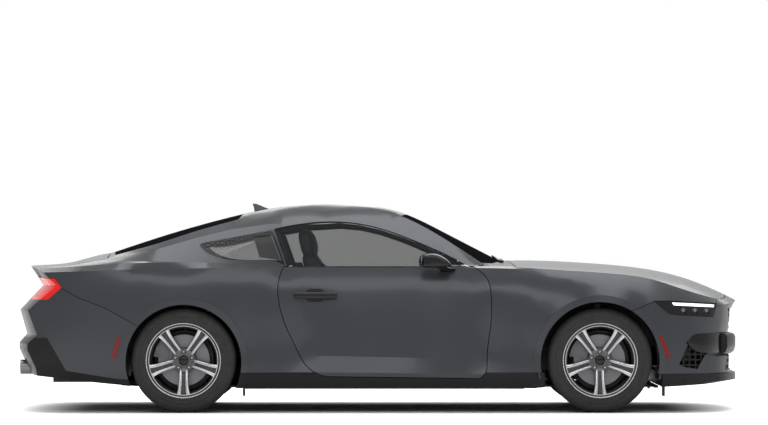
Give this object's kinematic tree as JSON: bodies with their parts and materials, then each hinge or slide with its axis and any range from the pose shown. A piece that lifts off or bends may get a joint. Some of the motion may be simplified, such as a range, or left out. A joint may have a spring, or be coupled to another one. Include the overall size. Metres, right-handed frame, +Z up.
{
  "type": "coupe car",
  "caption": "Two-door fastback coupe in dark grey with a long hood, sloping rear window, five-spoke wheels, opening doors, hood and trunk lid",
  "frame": {"origin": "on the ground, under the middle of the car's length and width", "axes": "+X to the nose, +Y to the left side, +Z up"},
  "size_m": [4.8109, 2.1064, 1.3988],
  "materials": {
    "paint": "dark metallic grey",
    "glass": "tinted",
    "black_plastic": "satin",
    "tyre": "matt",
    "alloy": "machined and painted silver",
    "iron": "raw",
    "steel": "brushed",
    "lamp_clear": "clear lens over dark bezel",
    "lamp_red": "red lens",
    "underbody": "black primer",
    "interior": "grained",
    "leather": "black"
  },
  "bodies": {
    "body": {"fender_left": "paint", "fender_right": "paint", "quarter_panel_left": "paint", "quarter_panel_right": "paint", "quarter_windows": "glass", "windshield": "glass", "rear_window": "glass", "roof_panel": "paint", "cowl": "black_plastic", "front_bumper": "paint", "rear_bumper": "paint", "rear_diffuser": "black_plastic", "front_splitter": "black_plastic", "side_skirts": "black_plastic", "headlamps": "lamp_clear", "taillamps": "lamp_red", "floor_pan": "underbody", "wheel_liners": "black_plastic", "dashboard": "interior", "seats": "leather", "engine_block": "iron", "exhaust": "steel", "front_suspension": "iron", "rear_suspension": "iron", "grille": "black_plastic", "antenna_fin": "black_plastic", "front_structure": "underbody", "rear_structure": "underbody", "side_markers": "lamp_red", "wipers": "black_plastic"},
    "hood": {"hood": "paint"},
    "trunk_lid": {"trunk_lid": "paint"},
    "steering_wheel": {"steering_wheel": "interior"},
    "door_left": {"door_left": "paint", "door_glass_left": "glass", "mirror_left": "black_plastic", "door_handle_left": "black_plastic"},
    "door_right": {"door_right": "paint", "door_glass_right": "glass", "mirror_right": "black_plastic", "door_handle_right": "black_plastic"},
    "steer_left": {"knuckle_front_left": "iron"},
    "wheel_front_left": {"tyre_front_left": "tyre", "rim_front_left": "alloy"},
    "wheel_rear_left": {"tyre_rear_left": "tyre", "rim_rear_left": "alloy"},
    "steer_right": {"knuckle_front_right": "iron"},
    "wheel_front_right": {"tyre_front_right": "tyre", "rim_front_right": "alloy"},
    "wheel_rear_right": {"tyre_rear_right": "tyre", "rim_rear_right": "alloy"}
  },
  "joints": [
    {"name": "door_left_hinge", "type": "hinge", "parent": "body", "child": "door_left", "pos_m": [0.7445, 0.921, 0.6], "axis": [0, 0, -1], "range_deg": [0, 65]},
    {"name": "door_right_hinge", "type": "hinge", "parent": "body", "child": "door_right", "pos_m": [0.7445, -0.921, 0.6], "axis": [0, 0, 1], "range_deg": [0, 65]},
    {"name": "hood_hinge", "type": "hinge", "parent": "body", "child": "hood", "pos_m": [0.86699, 0, 0.994], "axis": [0, -1, 0], "range_deg": [0, 60]},
    {"name": "trunk_hinge", "type": "hinge", "parent": "body", "child": "trunk_lid", "pos_m": [-1.77406, 0, 1.05], "axis": [0, 1, 0], "range_deg": [0, 80]},
    {"name": "steer_left", "type": "hinge", "parent": "body", "child": "steer_left", "pos_m": [1.4555, 0.74, 0.342], "axis": [0, 0, 1], "range_deg": [-33, 33]},
    {"name": "steer_right", "type": "hinge", "parent": "body", "child": "steer_right", "pos_m": [1.4555, -0.74, 0.342], "axis": [0, 0, 1], "range_deg": [-33, 33]},
    {"name": "steering_wheel_spin", "type": "hinge", "parent": "body", "child": "steering_wheel", "pos_m": [0.43099, 0.37292, 0.79829], "axis": [0.9397, 0, -0.342], "range_deg": [-470, 470]},
    {"name": "wheel_front_left_spin", "type": "hinge", "parent": "steer_left", "child": "wheel_front_left", "pos_m": [1.4555, 0.8, 0.342], "axis": [0, 1, 0], "continuous": true},
    {"name": "wheel_rear_left_spin", "type": "hinge", "parent": "body", "child": "wheel_rear_left", "pos_m": [-1.2645, 0.825, 0.342], "axis": [0, 1, 0], "continuous": true},
    {"name": "wheel_front_right_spin", "type": "hinge", "parent": "steer_right", "child": "wheel_front_right", "pos_m": [1.4555, -0.8, 0.342], "axis": [0, 1, 0], "continuous": true},
    {"name": "wheel_rear_right_spin", "type": "hinge", "parent": "body", "child": "wheel_rear_right", "pos_m": [-1.2645, -0.825, 0.342], "axis": [0, 1, 0], "continuous": true}
  ],
  "couplings": [
    {"joint": "steer_right", "follows": "steer_left", "ratio": 1},
    {"joint": "steering_wheel_spin", "follows": "steer_left", "ratio": 14}
  ]
}
